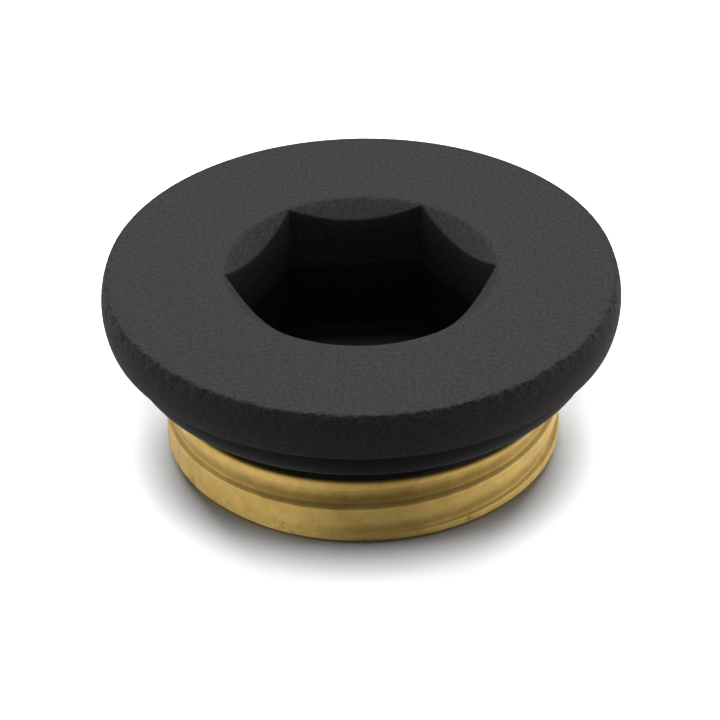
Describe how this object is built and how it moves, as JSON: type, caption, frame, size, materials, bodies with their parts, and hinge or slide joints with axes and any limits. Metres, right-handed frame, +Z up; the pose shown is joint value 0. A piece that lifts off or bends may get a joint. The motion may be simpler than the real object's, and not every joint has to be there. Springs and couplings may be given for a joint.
{
  "type": "blanking plug",
  "caption": "Blanking plug: round black-coated flange with a hexagon key socket, an O-ring under it and a short bare brass pipe thread that closes an unused radiator port.",
  "frame": {"origin": "centre of the end face of the thread, which is the plane the plug stands on", "axes": "+Z up the axis of the plug, from the end of the thread to the top of the flange; +X through two corners of the hexagon socket"},
  "size_m": [0.027, 0.027, 0.01],
  "materials": {
    "plug_body": "turned brass, satin and bare on the thread, with a matt black fine-textured powder coat on the flange and in the socket",
    "o_ring": "smooth black moulded rubber"
  },
  "bodies": {
    "root": {"plug_body": "plug_body", "o_ring": "o_ring"}
  },
  "joints": []
}
